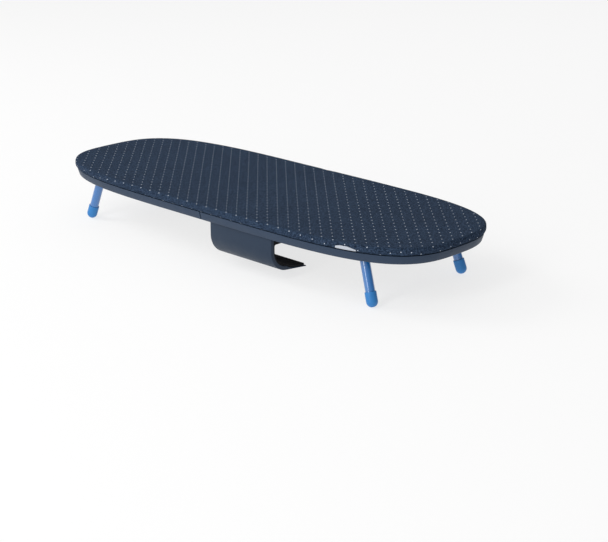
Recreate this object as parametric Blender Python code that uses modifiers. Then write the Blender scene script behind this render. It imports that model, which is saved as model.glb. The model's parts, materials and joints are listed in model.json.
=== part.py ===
"""Folding table-top ironing board: two halves hinged along the middle, bent-tube legs and a rigid hook."""
import bmesh
import bpy
from math import acos, atan2, cos, degrees, hypot, pi, radians, sin, tan
from mathutils import Matrix, Vector

# Overall size printed with the product, metres
LENGTH = 0.900
WIDTH = 0.330
HEIGHT = 0.110
# The plan is |x / half length| ** POWER_X + |y / half width| ** POWER_Y = 1
POWER_X = 4.35
POWER_Y = 3.05
OUTLINE_STEPS = 30

GAP = 0.0003              # air left between pieces that only rest on each other
SEAM = 0.001              # half the slot between the two base frames
FRAME_BOTTOM = 0.081
FRAME_SHELF = 0.0961      # top of the visible rim
FRAME_TOP = 0.1037        # the panel rests here
RIM_INSET = 0.0028
RIM_FOOT_INSET = 0.0062
WALL_OUT = 0.012
WALL_IN = 0.016
SEAM_WALL = 0.010

# Fold hinge: axis along Y, just under the cover
FOLD_Z = 0.1065
FOLD_RELIEF = radians(5)
SOFT_START = 0.004
PAD_START = 0.013
RELIEF_END = SOFT_START + 0.0420
HINGE_Y = 0.095
DOWEL_Y = 0.060
DOWEL_Z = 0.0925
LEAF_HALF = 0.020
LEAF_END = 0.032
LEAF_LOW = 0.1023
LEAF_HIGH = 0.1035
KNUCKLE_R = 0.0022
PIN_R = 0.0011
RUNNING = 0.00005

# Legs: one bent tube at each end, its legs splayed outward and flared apart
AXLE_X = 0.3354
AXLE_Z = 0.0875
LEG_Y = 0.1164            # at the foot
SPLAY = radians(19)
FLARE = radians(4.9)
TUBE_R = 0.0083
BEND_R = 0.018
FOOT_R = 0.0098
LEG_LENGTH = (AXLE_Z - FOOT_R) / cos(SPLAY)
FOOT_TILT = acos(cos(SPLAY) / hypot(1, tan(FLARE)))
LEG_TOP_Y = LEG_Y - LEG_LENGTH * tan(FLARE)
CAP_SLEEVE = 0.0165
BRACKET_Y = 0.070
BRACKET_HOLE = 0.0150
PLATE_Z = AXLE_Z + 0.0070
CLIP_X = 0.2875
STOP_X = AXLE_X + 0.0117

# Hook under the front edge of the right half
HOOK_X0 = 0.019
HOOK_X1 = 0.169
HOOK_FACE = -0.1548
HOOK_T = 0.0095           # moulded wall and rubber lining together
HOOK_WALL = 0.0070
HOOK_BEND_R = 0.040
HOOK_BEND_Z = 0.0584
LIP_SLOPE = radians(5.7)
LIP_LENGTH = 0.0498
LIP_TIP_T = 0.0055
LIP_TIP_WALL = 0.0018
LIP_SHARES = (0.08, 0.18, 0.32, 0.55)
SHOULDER_Y = -0.125
SHOULDER_Z = 0.069
HOOK_TOP = FRAME_BOTTOM - GAP
FLANGE_T = 0.003
FLANGE_END = -0.104
HOOK_SCREW_Y = -0.114
HOOK_SCREWS_X = (0.044, 0.094, 0.144)

# Latch under the seam
LATCH_X = 0.030
STUD_X = -0.012
STUD_R = 0.003
LEVER_LOW = 0.0772
LEVER_HIGH = 0.0800

for item in list(bpy.data.objects):
    bpy.data.objects.remove(item)
board = bpy.data.collections.new("folding_board")
tools = bpy.data.collections.new("cutters")
bpy.context.scene.collection.children.link(board)
bpy.context.scene.collection.children.link(tools)

AXES = {"X": (1, 0, 0), "Y": (0, 1, 0), "Z": (0, 0, 1)}
OUTLINE_TURN = {
    "X": Matrix(((0, 0, 1, 0), (1, 0, 0, 0), (0, 1, 0, 0), (0, 0, 0, 1))),
    "Y": Matrix.Rotation(pi / 2, 4, "X"),
    "Z": Matrix.Identity(4),
}
PAINTS = {
    "cover_cloth": ((0.020, 0.030, 0.075), 0.85, 0.0),
    "felt": ((0.62, 0.62, 0.60), 0.95, 0.0),
    "panel_steel": ((0.55, 0.56, 0.58), 0.45, 1.0),
    "frame_plastic": ((0.035, 0.055, 0.105), 0.50, 0.0),
    "lining_rubber": ((0.010, 0.010, 0.012), 0.80, 0.0),
    "leg_paint": ((0.020, 0.160, 0.540), 0.25, 0.0),
    "foot_plastic": ((0.015, 0.110, 0.400), 0.55, 0.0),
    "bracket_plastic": ((0.030, 0.045, 0.085), 0.60, 0.0),
    "hinge_steel": ((0.60, 0.61, 0.63), 0.35, 1.0),
    "screw_steel": ((0.66, 0.66, 0.67), 0.30, 1.0),
    "latch_plastic": ((0.030, 0.120, 0.380), 0.50, 0.0),
    "label_cloth": ((0.80, 0.80, 0.80), 0.90, 0.0),
}
PAINT = {}
for slot, (colour, rough, metal) in PAINTS.items():
    paint = bpy.data.materials.new(slot)
    paint.use_nodes = True
    shader = paint.node_tree.nodes["Principled BSDF"]
    shader.inputs["Base Color"].default_value = (*colour, 1)
    shader.inputs["Roughness"].default_value = rough
    shader.inputs["Metallic"].default_value = metal
    PAINT[slot] = paint


def side_name(side):
    return "right" if side > 0 else "left"


def edge_name(sign):
    return "back" if sign > 0 else "front"


def place(name, bm, side=1, slot=None, origin=(0, 0, 0), sharp=35):
    """Store a mesh drawn for the right half; side -1 mirrors it to the left half."""
    middle = Vector((origin[0] * side, origin[1], origin[2]))
    bmesh.ops.scale(bm, vec=(side, 1, 1), verts=bm.verts)
    bmesh.ops.translate(bm, vec=-middle, verts=bm.verts)
    bmesh.ops.recalc_face_normals(bm, faces=bm.faces)
    mesh = bpy.data.meshes.new(name)
    bm.to_mesh(mesh)
    bm.free()
    obj = bpy.data.objects.new(name, mesh)
    obj.location = middle
    if slot:
        mesh.materials.append(PAINT[slot])
        mesh.shade_smooth()
        mesh.set_sharp_from_angle(angle=radians(sharp))
        board.objects.link(obj)
    else:
        obj.hide_render = True
        obj.display_type = "WIRE"
        tools.objects.link(obj)
    return obj


def combine(obj, other, operation="DIFFERENCE"):
    step = obj.modifiers.new(other.name, "BOOLEAN")
    step.solver = "EXACT"
    step.operation = operation
    step.object = other
    step.use_self = True


def add_box(bm, x, y, z):
    size = Vector((x[1] - x[0], y[1] - y[0], z[1] - z[0]))
    centre = Vector((x[0] + x[1], y[0] + y[1], z[0] + z[1])) / 2
    bmesh.ops.create_cube(bm, size=1, matrix=Matrix.Translation(centre) @ Matrix.Diagonal((*size, 1)))


def add_loft(bm, rings, closed=False):
    """Skin a row of equal rings; open rows get a cap at each end."""
    rows = [[bm.verts.new(point) for point in ring] for ring in rings]
    pairs = list(zip(rows, rows[1:]))
    if closed:
        pairs.append((rows[-1], rows[0]))
    for low, high in pairs:
        for i in range(len(low)):
            j = (i + 1) % len(low)
            bm.faces.new((low[i], low[j], high[j], high[i]))
    if not closed:
        bm.faces.new(rows[0][::-1])
        bm.faces.new(rows[-1])


def add_outline(bm, points, low, high, axis="Z"):
    """Extrude a plan outline along Z, an (x, z) outline along Y or a (y, z) outline along X."""
    curve = bpy.data.curves.new("outline", "CURVE")
    curve.dimensions = "2D"
    curve.fill_mode = "BOTH"
    curve.extrude = (high - low) / 2
    line = curve.splines.new("POLY")
    line.points.add(len(points) - 1)
    line.use_cyclic_u = True
    for knot, (across, up) in zip(line.points, points):
        knot.co = (across, up, 0, 1)
    guide = bpy.data.objects.new("outline", curve)
    tools.objects.link(guide)
    graph = bpy.context.evaluated_depsgraph_get()
    mesh = bpy.data.meshes.new_from_object(guide.evaluated_get(graph))
    middle = Vector(AXES[axis]) * (low + high) / 2
    mesh.transform(Matrix.Translation(middle) @ OUTLINE_TURN[axis])
    bm.from_mesh(mesh)
    bmesh.ops.remove_doubles(bm, verts=bm.verts, dist=1e-6)
    bpy.data.objects.remove(guide)
    bpy.data.curves.remove(curve)
    bpy.data.meshes.remove(mesh)


def lean(direction):
    return Vector((0, 0, 1)).rotation_difference(Vector(direction)).to_matrix().to_4x4()


def add_rod(bm, start, end, radius, end_radius=None, segments=12):
    """Cylinder or cone frustum between two points."""
    along = Vector(end) - Vector(start)
    middle = (Vector(end) + Vector(start)) / 2
    bmesh.ops.create_cone(bm, cap_ends=True, segments=segments, radius1=radius, depth=along.length,
                          radius2=radius if end_radius is None else end_radius,
                          matrix=Matrix.Translation(middle) @ lean(along))


def turned(name, profile, at, direction, side, slot, steps=12):
    """Solid of revolution: (height along the direction, radius) pairs, the last one at the far end."""
    pairs = [(profile[0][0], 0)] + list(profile) + [(profile[-1][0], 0)]
    verts = [(radius, 0, height) for height, radius in reversed(pairs)]
    mesh = bpy.data.meshes.new(name)
    mesh.from_pydata(verts, [(k, k + 1) for k in range(len(verts) - 1)], [])
    mesh.materials.append(PAINT[slot])
    obj = bpy.data.objects.new(name, mesh)
    spot = Matrix.Translation((at[0] * side, at[1], at[2]))
    obj.matrix_world = spot @ lean((direction[0] * side, direction[1], direction[2]))
    board.objects.link(obj)
    step = obj.modifiers.new("turn", "SCREW")
    step.steps = steps
    step.render_steps = steps
    step.use_merge_vertices = True
    step.merge_threshold = 0.000001
    step.use_smooth_shade = True
    return obj


def arc(centre, radius, start, end, steps):
    """Points on a circle, angles in degrees."""
    points = []
    for k in range(steps + 1):
        angle = radians(start + (end - start) * k / steps)
        points.append((centre[0] + radius * cos(angle), centre[1] + radius * sin(angle)))
    return points


def outline_y(x, inset=0.0):
    return (WIDTH / 2 - inset) * (1 - (abs(x) / (LENGTH / 2 - inset)) ** POWER_X) ** (1 / POWER_Y)


def half_outline(inset, start):
    """Plan curve of the right half from the seam at the front round the end to the seam at the back."""
    fine = []
    steps = 600
    for k in range(steps + 1):
        angle = -pi / 2 + pi * k / steps
        x = (LENGTH / 2 - inset) * max(cos(angle), 0) ** (2 / POWER_X)
        reach = abs(sin(angle)) ** (2 / POWER_Y)
        if x > start:
            fine.append(Vector((x, (WIDTH / 2 - inset) * (reach if angle > 0 else -reach))))
    first = Vector((start, -outline_y(start, inset)))
    last = Vector((start, outline_y(start, inset)))
    fine = [first] + fine + [last]
    run = [0.0]
    heading = None
    for one, two in zip(fine, fine[1:]):
        step = two - one
        now = atan2(step.y, step.x)
        bend = abs(now - heading) if heading is not None else 0.0
        heading = now
        run.append(run[-1] + step.length / 0.55 + min(bend, 0.3) / pi * 3.0)
    points = []
    place_at = 0
    for k in range(OUTLINE_STEPS + 1):
        target = run[-1] * k / OUTLINE_STEPS
        while place_at < len(run) - 2 and run[place_at + 1] < target:
            place_at += 1
        share = (target - run[place_at]) / (run[place_at + 1] - run[place_at])
        points.append(fine[place_at].lerp(fine[place_at + 1], share))
    return [(point.x, point.y) for point in points]


def add_shell(bm, levels, start):
    """Solid skinned from (inset, z) levels round the curved edge, open towards the seam."""
    rows = []
    for inset, z in levels:
        rows.append([bm.verts.new((x, y, z)) for x, y in half_outline(inset, start)])
    for low, high in zip(rows, rows[1:]):
        for i in range(len(low) - 1):
            bm.faces.new((low[i], low[i + 1], high[i + 1], high[i]))
    bm.faces.new(rows[0][::-1])
    bm.faces.new(rows[-1])
    bm.faces.new([row[0] for row in rows] + [row[-1] for row in reversed(rows)])


def relieve(bm, low, high):
    """Slope the top down towards the fold axis so the two halves can close face to face."""
    bmesh.ops.bisect_plane(bm, geom=bm.verts[:] + bm.edges[:] + bm.faces[:], dist=1e-6,
                           plane_co=(RELIEF_END, 0, 0), plane_no=(1, 0, 0))
    for vert in bm.verts:
        if vert.co.x < RELIEF_END:
            share = min(max((vert.co.z - low) / (high - low), 0), 1)
            vert.co.z -= share * (RELIEF_END - vert.co.x) * tan(FOLD_RELIEF)


def screw(name, at, direction, head_r, head_t, shank_r, length, side):
    """Pan-head screw: the head's underside is at the given point."""
    profile = [(-head_t, head_r * 0.6), (-head_t * 0.6, head_r), (0, head_r)]
    profile += [(0, shank_r), (length, shank_r)]
    turned(name, profile, at, direction, side, "screw_steel", 10)


# ---------------------------------------------------------------- soft top and steel panel
def build_cover(side):
    bm = bmesh.new()
    levels = ((0.0046, 0.1091), (0.0028, 0.1085), (0.0013, 0.1065), (0.0013, 0.0988), (0.0070, 0.0988),
              (0.0070, 0.0980), (0.0008, 0.0980), (0.0, 0.0990), (0.0, 0.1070), (0.0005, 0.1086),
              (0.0014, 0.1096), (0.0030, HEIGHT))
    add_shell(bm, levels, SOFT_START)
    relieve(bm, 0.1053, 0.1085)
    place("cover_" + side_name(side), bm, side, "cover_cloth")


def build_pad(side):
    bm = bmesh.new()
    add_shell(bm, ((0.0034, 0.1053), (0.0034, 0.1068), (0.0054, 0.1087)), PAD_START)
    relieve(bm, 0.1053, 0.1087)
    place("felt_pad_" + side_name(side), bm, side, "felt")


def build_panel(side):
    bm = bmesh.new()
    levels = ((0.0036, 0.1040), (0.0036, 0.0991), (0.0026, 0.0991), (0.0026, 0.1044), (0.0032, 0.1050))
    add_shell(bm, levels, SEAM + 0.002)
    panel = place("mesh_panel_" + side_name(side), bm, side, "panel_steel")
    bm = bmesh.new()
    for row in range(-2, 3):
        for column in range(6):
            x = 0.062 + column * 0.064 + (0.032 if row % 2 else 0)
            y = row * 0.046
            if (x / 0.42) ** POWER_X + abs(y / 0.140) ** POWER_Y < 0.80:
                hexagon = Matrix.Translation((x, y, 0.1045)) @ Matrix.Diagonal((0.024, 0.0104, 0.003, 1))
                bmesh.ops.create_cone(bm, cap_ends=True, segments=6, radius1=1, radius2=1, depth=1,
                                      matrix=hexagon @ Matrix.Rotation(pi / 6, 4, "Z"))
    combine(panel, place("panel_holes_" + side_name(side), bm, side))


# ---------------------------------------------------------------- moulded base frames
def build_frame(side):
    bm = bmesh.new()
    levels = ((0.0076, FRAME_BOTTOM, SEAM), (RIM_FOOT_INSET, 0.0821, SEAM), (RIM_INSET, 0.0954, SEAM),
              (0.0034, FRAME_SHELF, SEAM), (WALL_OUT, FRAME_SHELF, SEAM), (WALL_OUT, FRAME_TOP, SEAM),
              (WALL_IN, FRAME_TOP, SEAM_WALL), (WALL_IN, FRAME_BOTTOM, SEAM_WALL))
    rings = [[(x, y, z) for x, y in half_outline(inset, start)] for inset, z, start in levels]
    add_loft(bm, rings, closed=True)
    frame = place("base_frame_" + side_name(side), bm, side, "frame_plastic")

    ribs = bmesh.new()
    add_box(ribs, (0.176, 0.180), (-0.150, 0.150), (0.0860, FRAME_TOP - 0.0002))
    add_box(ribs, (0.280, 0.295), (-0.1425, 0.1425), (0.0975, FRAME_TOP - 0.0004))
    add_box(ribs, (AXLE_X - 0.021, AXLE_X + 0.021), (-0.1245, 0.1245), (0.0965, FRAME_TOP - 0.0004))
    for sign in (-1, 1):
        y = sorted((sign * 0.0435, sign * 0.0465))
        add_box(ribs, (0.006, 0.1775), y, (0.0870, FRAME_TOP - 0.0006))
        add_box(ribs, (0.1785, 0.4325), y, (0.0967, FRAME_TOP - 0.0006))
        add_box(ribs, (0.007, 0.0345), sorted((sign * 0.073, sign * 0.117)), (0.0880, FRAME_TOP - 0.0008))
        add_box(ribs, (STOP_X, STOP_X + 0.0135), sorted((sign * 0.1035, sign * 0.1155)), (0.0820, 0.0975))
    if side > 0:
        for x in HOOK_SCREWS_X:
            add_box(ribs, (x - 0.0065, x + 0.0065), (-0.1510, -0.1065), (0.0811, FRAME_TOP - 0.0010))
        add_box(ribs, (0.007, LATCH_X + 0.010), (-0.010, 0.010), (0.0815, FRAME_TOP - 0.0010))
    else:
        add_box(ribs, (0.007, 0.020), (-0.009, 0.009), (0.0815, FRAME_TOP - 0.0010))
    operand = place("frame_ribs_" + side_name(side), ribs, side)
    combine(frame, operand, "UNION")

    cuts = bmesh.new()
    for sign in (-1, 1):
        y = sign * HINGE_Y
        pocket = (y - LEAF_HALF - GAP, y + LEAF_HALF + GAP)
        add_box(cuts, (-0.002, LEAF_END + 0.0005), pocket, (0.1020, 0.1050))
        for shift in (-0.011, 0.011):
            add_rod(cuts, (0.020, y + shift, 0.0915), (0.020, y + shift, 0.1030), 0.0017, segments=10)
        hole = 0.0034 if side > 0 else 0.0027
        add_rod(cuts, (-0.002, sign * DOWEL_Y, DOWEL_Z), (0.012, sign * DOWEL_Y, DOWEL_Z), hole)
        for shift in (-BRACKET_HOLE, BRACKET_HOLE):
            x = AXLE_X + shift
            y = sign * BRACKET_Y
            add_rod(cuts, (x, y, 0.0955), (x, y, 0.1026), 0.0018, segments=10)
    if side > 0:
        for x in HOOK_SCREWS_X:
            add_rod(cuts, (x, HOOK_SCREW_Y, 0.0800), (x, HOOK_SCREW_Y, 0.0950), 0.0020, segments=10)
        add_rod(cuts, (LATCH_X, 0, 0.0800), (LATCH_X, 0, 0.0970), 0.0022)
    else:
        add_rod(cuts, (-STUD_X, 0, 0.0800), (-STUD_X, 0, 0.0970), 0.0022)
    combine(frame, place("frame_cuts_" + side_name(side), cuts, side))


# ---------------------------------------------------------------- folding legs
def build_legs(side):
    ahead = Vector((sin(SPLAY), 0, -cos(SPLAY)))
    axle = Vector((AXLE_X, 0, AXLE_Z))
    reach = LEG_LENGTH - 0.003
    path = [(reach, -LEG_TOP_Y - reach * tan(FLARE))]
    centre = (BEND_R, -LEG_TOP_Y + BEND_R / cos(FLARE) - BEND_R * tan(FLARE))
    path += arc(centre, BEND_R, 270 - degrees(FLARE), 180, 6)
    path += [(down, -y) for down, y in reversed(path)]
    curve = bpy.data.curves.new("leg_frame_" + side_name(side), "CURVE")
    curve.dimensions = "3D"
    curve.bevel_depth = TUBE_R
    curve.bevel_resolution = 5
    curve.use_fill_caps = True
    curve.materials.append(PAINT["leg_paint"])
    line = curve.splines.new("POLY")
    line.points.add(len(path) - 1)
    for knot, (down, y) in zip(line.points, path):
        knot.co = (side * ahead.x * down, y, ahead.z * down, 1)
    tube = bpy.data.objects.new("leg_frame_" + side_name(side), curve)
    tube.location = (side * AXLE_X, 0, AXLE_Z)
    board.objects.link(tube)
    for sign in (-1, 1):
        where = side_name(side) + "_" + edge_name(sign)
        bore = TUBE_R + GAP
        profile = [(-0.0024, bore), (-CAP_SLEEVE, bore), (-CAP_SLEEVE, FOOT_R - 0.0008)]
        profile += [(-CAP_SLEEVE + 0.001, FOOT_R)] + arc((0, 0), FOOT_R, 90, degrees(FOOT_TILT), 3)
        foot = axle + ahead * LEG_LENGTH + Vector((0, sign * LEG_Y, 0))
        down = (ahead + Vector((0, sign * tan(FLARE), 0))).normalized()
        turned("foot_cap_" + where, profile, foot, down, side, "foot_plastic", 24)

        wrap = TUBE_R + GAP
        strap = wrap + 0.002
        low = PLATE_Z - AXLE_Z
        half = [(strap, low), (0.0205, low), (0.0205, low + 0.0017), (wrap, low + 0.0017)]
        points = arc((0, 0), strap, 180, 360, 8) + half + arc((0, 0), wrap, 360, 180, 8)
        points += [(-x, z) for x, z in reversed(half)]
        bm = bmesh.new()
        add_outline(bm, [(AXLE_X + x, AXLE_Z + z) for x, z in points], sign * BRACKET_Y - 0.008,
                  sign * BRACKET_Y + 0.008, "Y")
        bracket = place("axle_bracket_" + where, bm, side, "bracket_plastic")
        bm = bmesh.new()
        for shift in (-BRACKET_HOLE, BRACKET_HOLE):
            x = AXLE_X + shift
            y = sign * BRACKET_Y
            add_rod(bm, (x, y, PLATE_Z - 0.0015), (x, y, PLATE_Z + 0.0030), 0.0020, segments=10)
        combine(bracket, place("bracket_holes_" + where, bm, side))
        for shift, tag in ((-BRACKET_HOLE, "_inner"), (BRACKET_HOLE, "_outer")):
            at = (AXLE_X + shift, sign * BRACKET_Y, PLATE_Z - GAP)
            screw("bracket_screw_" + where + tag, at, (0, 0, 1), 0.0032, 0.0016, 0.0015, 0.0080, side)

        y = sign * (LEG_TOP_Y + (AXLE_X - CLIP_X) * tan(FLARE))
        inner = TUBE_R + 0.0010
        outer = inner + 0.0018
        points = [(-outer, 0.0835), (-inner, 0.0835), (-inner, 0.0962), (inner, 0.0962), (inner, 0.0835)]
        points += [(outer, 0.0835), (outer, 0.0972), (-outer, 0.0972)]
        bm = bmesh.new()
        add_outline(bm, [(y + dy, z) for dy, z in points], CLIP_X - 0.0055, CLIP_X + 0.0055, "X")
        place("leg_clip_" + where, bm, side, "bracket_plastic")


# ---------------------------------------------------------------- fold hinges
def build_leaf(side, sign):
    y = sign * HINGE_Y
    where = side_name(side) + "_" + edge_name(sign)
    bm = bmesh.new()
    add_box(bm, (SEAM, LEAF_END), (y - LEAF_HALF, y + LEAF_HALF), (LEAF_LOW, LEAF_HIGH))
    leaf = place("hinge_leaf_" + where, bm, side, "hinge_steel")
    profile = arc((0, FOLD_Z), KNUCKLE_R, -30, 240, 12) + [(0.0015, 0.1029), (0.0035, 0.1029)]
    if side > 0:
        spans = ((-LEAF_HALF + 0.0001, -0.0070), (0.0070, LEAF_HALF - 0.0001))
    else:
        spans = ((-0.0067, 0.0067),)
    bm = bmesh.new()
    for low, high in spans:
        add_outline(bm, profile, y + low, y + high, "Y")
    combine(leaf, place("knuckles_" + where, bm, side), "UNION")
    bm = bmesh.new()
    add_rod(bm, (0, y - 0.03, FOLD_Z), (0, y + 0.03, FOLD_Z), PIN_R + RUNNING, segments=16)
    for shift in (-0.011, 0.011):
        add_rod(bm, (0.020, y + shift, 0.1019), (0.020, y + shift, 0.1037), 0.00165, 0.0035)
    combine(leaf, place("leaf_holes_" + where, bm, side))
    for shift, tag in ((-0.011, "_a"), (0.011, "_b")):
        profile = ((0.0922, 0.0014), (0.1020, 0.0014), (0.1034, 0.0028))
        at = (0.020, y + shift, 0)
        turned("leaf_screw_" + where + tag, profile, at, (0, 0, 1), side, "screw_steel", 10)


def build_hinge(sign):
    build_leaf(1, sign)
    build_leaf(-1, sign)
    bm = bmesh.new()
    y = sign * HINGE_Y
    add_rod(bm, (0, y - 0.0205, FOLD_Z), (0, y + 0.0205, FOLD_Z), PIN_R, segments=16)
    place("hinge_pin_" + edge_name(sign), bm, 1, "hinge_steel")
    profile = ((-0.0095, 0.0023), (-0.0012, 0.0025), (0.0034, 0.0023), (0.0050, 0.0014))
    at = (0, sign * DOWEL_Y, DOWEL_Z)
    turned("seam_dowel_" + edge_name(sign), profile, at, (1, 0, 0), 1, "bracket_plastic")


# ---------------------------------------------------------------- hook
def hook_line(wall, tip_wall, end):
    """(y, z) points down the bend and along the lip, at a depth from the hook's outer face."""
    centre = (HOOK_FACE + HOOK_BEND_R, HOOK_BEND_Z)
    heel = Vector(arc(centre, HOOK_BEND_R, 180, 270 - degrees(LIP_SLOPE), 1)[-1])
    ahead = Vector((cos(LIP_SLOPE), -sin(LIP_SLOPE)))
    upward = Vector((sin(LIP_SLOPE), cos(LIP_SLOPE)))
    points = arc(centre, HOOK_BEND_R - wall, 180, 270 - degrees(LIP_SLOPE), 8)
    for share in LIP_SHARES + (end,):
        thick = tip_wall + (wall - tip_wall) * (1 - share) ** 5
        points.append(tuple(heel + ahead * LIP_LENGTH * share + upward * thick))
    return points


def place_hook(name, points, low, high, slot):
    """Extruded section with softened edges, its lip's corners rounded in plan."""
    bm = bmesh.new()
    add_outline(bm, points, low, high, "X")
    bmesh.ops.dissolve_limit(bm, angle_limit=radians(1), verts=bm.verts, edges=bm.edges)
    piece = place(name, bm, 1, slot, (0, 0, 0), 40)
    soft = piece.modifiers.new("edge_round", "BEVEL")
    soft.width = 0.0006
    soft.segments = 2
    soft.limit_method = "ANGLE"
    soft.angle_limit = radians(60)
    bm = bmesh.new()
    reach = 0.010
    tip = max(point[0] for point in hook_line(0, 0, 1)) + 0.0002
    for end, inward in ((HOOK_X0, 1), (HOOK_X1, -1)):
        middle = (end + inward * reach, tip - reach)
        curve = [(middle[0] - inward * reach * cos(radians(a)), middle[1] + reach * sin(radians(a)))
                 for a in (0, 15, 30, 45, 60, 75, 90)]
        beyond = end - inward * 0.004
        outer = [(middle[0], tip + 0.004), (beyond, tip + 0.004), (beyond, middle[1])]
        add_outline(bm, curve + outer, 0.005, 0.035)
    for x in HOOK_SCREWS_X:
        add_rod(bm, (x, HOOK_SCREW_Y, 0.0740), (x, HOOK_SCREW_Y, 0.0830), 0.0022, segments=10)
    combine(piece, place(name + "_cuts", bm, 1))


def build_hook():
    under = HOOK_TOP - FLANGE_T
    outer = hook_line(0, 0, 0.97)
    inner = hook_line(HOOK_WALL, LIP_TIP_WALL, 0.97)
    nose = Vector(hook_line(LIP_TIP_WALL / 2, LIP_TIP_WALL / 2, 1)[-1])
    points = [(HOOK_FACE, HOOK_TOP)] + outer + [tuple(nose)] + inner[::-1]
    points += [(HOOK_FACE + HOOK_WALL, under), (FLANGE_END, under), (FLANGE_END, HOOK_TOP)]
    place_hook("door_hook", points, HOOK_X0, HOOK_X1, "frame_plastic")

    back = hook_line(HOOK_WALL + GAP, LIP_TIP_WALL + GAP, 0.93)
    face = hook_line(HOOK_T, LIP_TIP_T, 0.93)
    top = arc((HOOK_FACE + HOOK_T + 0.003, SHOULDER_Z - 0.003), 0.003, 180, 90, 3)
    top += [(SHOULDER_Y, SHOULDER_Z), (SHOULDER_Y, under - GAP), (HOOK_FACE + HOOK_WALL + GAP, under - GAP)]
    place_hook("hook_lining", back + face[::-1] + top, HOOK_X0 + 0.0008, HOOK_X1 - 0.0008, "lining_rubber")
    for k, x in enumerate(HOOK_SCREWS_X):
        at = (x, HOOK_SCREW_Y, HOOK_TOP - FLANGE_T - GAP)
        screw("hook_screw_" + str(k + 1), at, (0, 0, 1), 0.0040, 0.0020, 0.0017, 0.0165, 1)


# ---------------------------------------------------------------- latch under the seam
def build_latch():
    reach = LATCH_X - STUD_X
    slot = STUD_R + 0.0005
    spot = (LATCH_X, 0)
    points = arc(spot, reach + slot + 0.003, 173, 198, 6)
    points += arc(spot, 0.010, 235, 305, 3)
    points += arc(spot, 0.046, 352, 368, 4)
    points += arc(spot, 0.010, 60, 120, 3)
    points += [arc(spot, reach - slot, 166, 166, 1)[0]]
    points += arc(spot, reach - slot, 173, 187, 4)
    points += arc(spot, reach + slot, 187, 173, 4)
    bm = bmesh.new()
    add_outline(bm, points, LEVER_LOW, LEVER_HIGH)
    lever = place("latch_lever", bm, 1, "latch_plastic", (LATCH_X, 0, LEVER_LOW))
    bm = bmesh.new()
    add_rod(bm, (LATCH_X, 0, 0.0760), (LATCH_X, 0, 0.0812), 0.00305, segments=16)
    combine(lever, place("lever_bore", bm, 1))
    profile = ((0.0750, 0.0038), (0.0756, 0.0050), (0.0769, 0.0050), (0.0769, 0.0030), (0.0811, 0.0030))
    profile += ((0.0811, 0.0019), (0.0960, 0.0019))
    turned("latch_pivot", profile, (LATCH_X, 0, 0), (0, 0, 1), 1, "screw_steel", 14)
    profile = ((0.0779, 0.0024), (0.0785, STUD_R), (0.0807, STUD_R), (0.0807, 0.0019), (0.0960, 0.0019))
    turned("latch_stud", profile, (STUD_X, 0, 0), (0, 0, 1), 1, "screw_steel")


def build_label():
    """Blank woven label sewn to the front of the cover."""
    bm = bmesh.new()
    xs = [0.3140 + 0.0372 * k / 4 for k in range(5)]
    near = [(x, -outline_y(x, -GAP)) for x in xs]
    far = [(x, -outline_y(x, -GAP - 0.0008)) for x in reversed(xs)]
    add_outline(bm, near + far, 0.0992, 0.1052)
    place("side_label", bm, 1, "label_cloth")


for half in (1, -1):
    build_cover(half)
    build_pad(half)
    build_panel(half)
    build_frame(half)
    build_legs(half)
for edge in (-1, 1):
    build_hinge(edge)
build_hook()
build_latch()
build_label()
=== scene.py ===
"""Looks of the folding table-top ironing board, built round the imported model."""

import bmesh
import bpy
import json
import numpy as np
from math import acos, cos, degrees, hypot, pi, radians, sin, tan
from mathutils import Matrix, Vector, noise

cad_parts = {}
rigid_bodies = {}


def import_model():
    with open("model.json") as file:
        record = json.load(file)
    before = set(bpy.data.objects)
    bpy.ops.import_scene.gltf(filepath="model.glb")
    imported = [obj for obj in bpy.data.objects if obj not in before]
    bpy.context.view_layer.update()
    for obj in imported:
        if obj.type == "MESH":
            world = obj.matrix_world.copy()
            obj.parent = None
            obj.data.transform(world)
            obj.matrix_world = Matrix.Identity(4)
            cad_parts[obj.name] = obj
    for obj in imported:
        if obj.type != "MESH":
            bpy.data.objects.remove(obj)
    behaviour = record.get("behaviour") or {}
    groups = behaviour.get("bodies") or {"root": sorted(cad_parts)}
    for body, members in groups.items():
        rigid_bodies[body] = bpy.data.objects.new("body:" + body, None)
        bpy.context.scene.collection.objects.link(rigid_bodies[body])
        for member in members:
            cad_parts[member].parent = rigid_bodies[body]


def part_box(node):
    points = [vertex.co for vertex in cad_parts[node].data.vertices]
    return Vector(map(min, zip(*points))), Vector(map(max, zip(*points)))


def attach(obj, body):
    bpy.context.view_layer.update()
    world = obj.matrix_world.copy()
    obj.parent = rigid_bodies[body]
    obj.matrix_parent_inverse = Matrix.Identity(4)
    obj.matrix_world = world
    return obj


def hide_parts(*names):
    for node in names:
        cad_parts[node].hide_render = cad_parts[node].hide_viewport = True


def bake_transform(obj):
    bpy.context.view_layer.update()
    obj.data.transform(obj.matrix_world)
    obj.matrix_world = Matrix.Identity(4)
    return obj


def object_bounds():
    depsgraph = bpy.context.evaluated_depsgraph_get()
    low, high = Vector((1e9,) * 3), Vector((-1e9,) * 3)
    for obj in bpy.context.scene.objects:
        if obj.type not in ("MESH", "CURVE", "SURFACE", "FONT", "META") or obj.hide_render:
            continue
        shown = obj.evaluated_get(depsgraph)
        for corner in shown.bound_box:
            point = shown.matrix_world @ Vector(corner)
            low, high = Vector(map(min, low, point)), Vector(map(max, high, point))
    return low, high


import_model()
cad_low, cad_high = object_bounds()

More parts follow.
